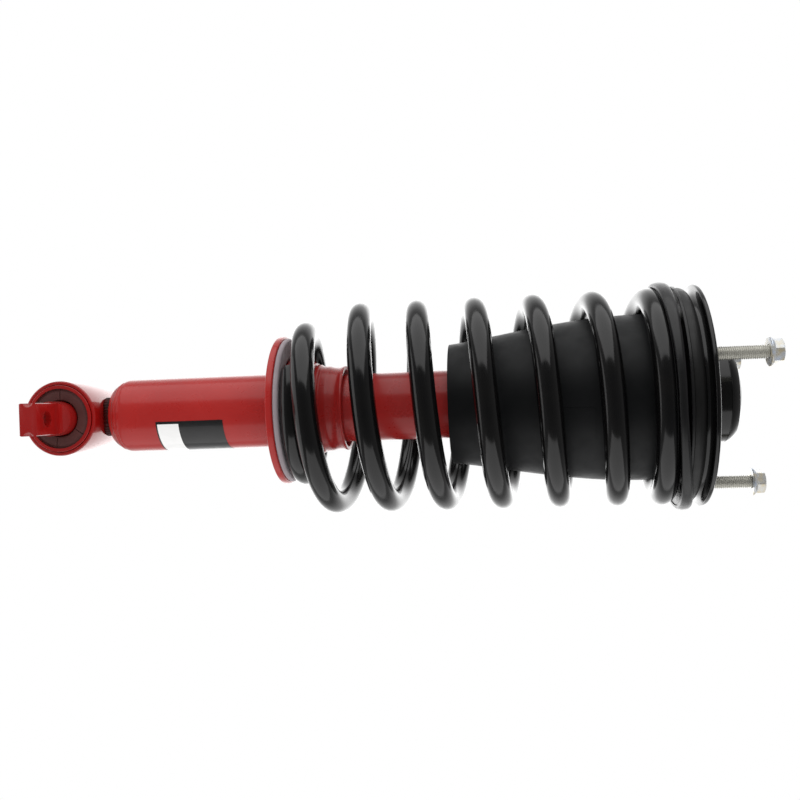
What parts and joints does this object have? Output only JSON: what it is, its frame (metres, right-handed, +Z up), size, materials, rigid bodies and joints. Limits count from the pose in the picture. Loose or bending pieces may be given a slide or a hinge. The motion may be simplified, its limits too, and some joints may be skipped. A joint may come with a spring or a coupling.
{
  "type": "suspension strut assembly",
  "caption": "Coil-over damper strut with a cross-pin lower eye, coil spring, dust boot and a studded rubber top mount.",
  "frame": {"origin": "centre of the lower eye, midway between the two bolt holes of the cross pin", "axes": "+Z up the strut axis to the top mount, Y along the cross pin, X across the pin"},
  "size_m": [0.179, 0.179, 0.5923],
  "materials": {
    "red_paint": "gloss",
    "black_paint": "gloss",
    "bush_rubber": "matte",
    "isolator_rubber": "matte",
    "black_rubber": "matte",
    "bump_foam": "matte",
    "bare_steel": "satin",
    "sintered_iron": "satin",
    "chromed_rod": "polished",
    "zinc_plate": "satin",
    "ring_polymer": "satin",
    "label_film": "satin"
  },
  "bodies": {
    "top_mount": {"piston_rod": "chromed_rod", "piston": "sintered_iron", "piston_ring": "ring_polymer", "valve_discs": "bare_steel", "piston_nut": "bare_steel", "rebound_stop": "bare_steel", "bump_stop": "bump_foam", "dust_boot": "black_rubber", "coil_spring": "black_paint", "upper_isolator": "black_rubber", "upper_spring_seat": "black_paint", "mount_pad": "black_rubber", "mount_plate": "black_paint", "mount_rubber": "black_rubber", "mount_sleeve": "bare_steel", "lower_washer": "bare_steel", "upper_washer": "bare_steel", "rod_nut": "zinc_plate", "dome_cap": "black_paint", "mount_studs": "zinc_plate", "flange_nuts": "zinc_plate"},
    "damper_body": {"eye_ring": "red_paint", "bush_sleeve": "red_paint", "bush_rubber": "bush_rubber", "eye_weld": "red_paint", "base_cap": "red_paint", "reserve_tube": "red_paint", "pressure_tube": "bare_steel", "foot_valve": "sintered_iron", "rod_guide": "sintered_iron", "rod_seal": "black_rubber", "striker_cap": "bare_steel", "lower_spring_seat": "red_paint", "seat_collar": "red_paint", "lower_isolator": "isolator_rubber", "label": "label_film"},
    "lower_pin": {"cross_pin": "red_paint"}
  },
  "joints": [
    {"name": "damper_stroke", "type": "slide", "parent": "top_mount", "child": "damper_body", "axis": [0, 0, 1], "range_m": [0, 0.112], "stiffness_N_per_m": 65000, "deforming": ["coil_spring"]},
    {"name": "cross_pin_twist", "type": "hinge", "parent": "damper_body", "child": "lower_pin", "pos_m": [0, 0, 0], "axis": [0, 1, 0], "range_deg": [-15, 15], "stiffness_Nm_per_rad": 40}
  ]
}
